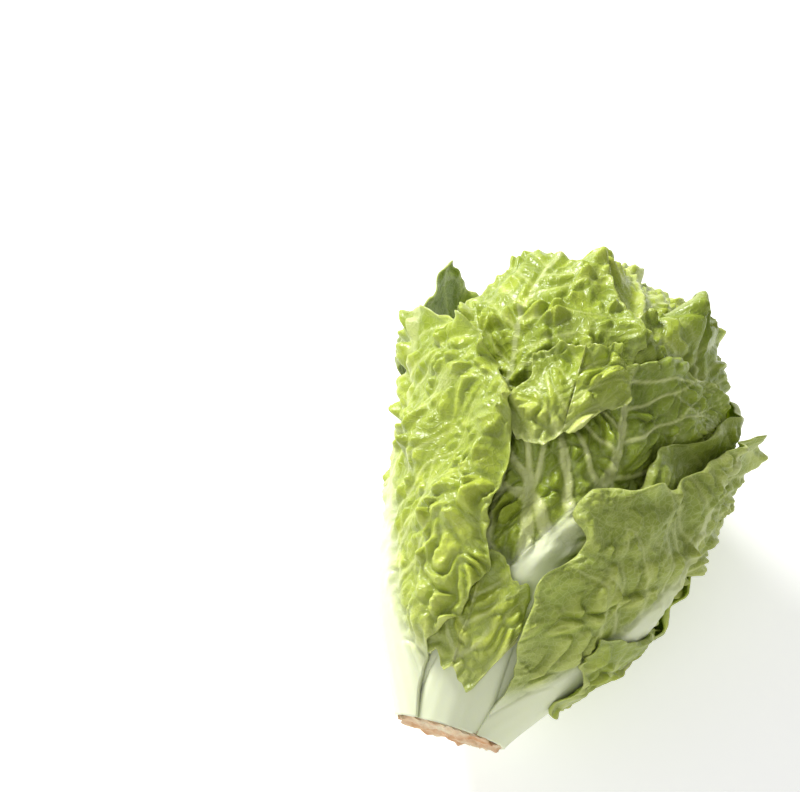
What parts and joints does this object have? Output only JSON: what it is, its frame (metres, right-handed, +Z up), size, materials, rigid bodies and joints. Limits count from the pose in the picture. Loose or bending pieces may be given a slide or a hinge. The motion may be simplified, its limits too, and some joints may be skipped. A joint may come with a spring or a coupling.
{
  "type": "romaine lettuce head",
  "caption": "Small compact romaine lettuce head with crinkled overlapping leaves, pale ribs and a cut stem, lying on its side.",
  "frame": {"origin": "centre of the bounding box's bottom face, where the head lies on the table", "axes": "+Y from the cut stem to the crown, +Z up with the head lying on its side, +X to the right seen from above with the crown away from the viewer"},
  "size_m": [0.1068, 0.142, 0.0929],
  "materials": {
    "stem": "matt",
    "leaf_outer": "waxy satin",
    "leaf_inner": "waxy satin",
    "leaf_heart": "waxy satin"
  },
  "bodies": {
    "root": {"stem": "stem", "outer_leaf_under": "leaf_outer", "outer_leaf_back_left": "leaf_outer", "outer_leaf_right": "leaf_outer", "outer_leaf_left": "leaf_outer", "lower_right_leaf": "leaf_outer", "front_leaf": "leaf_outer", "back_leaf": "leaf_outer", "crown_leaf_left": "leaf_inner", "crown_leaf_right": "leaf_inner", "crown_leaf_under": "leaf_inner", "inner_leaf_front": "leaf_inner", "inner_leaf_right": "leaf_inner", "inner_leaf_left": "leaf_inner", "heart_leaf_1": "leaf_heart", "heart_leaf_2": "leaf_heart", "heart_leaf_3": "leaf_heart", "heart_leaf_4": "leaf_heart", "heart_leaf_5": "leaf_heart", "heart_leaf_6": "leaf_heart"}
  },
  "joints": []
}
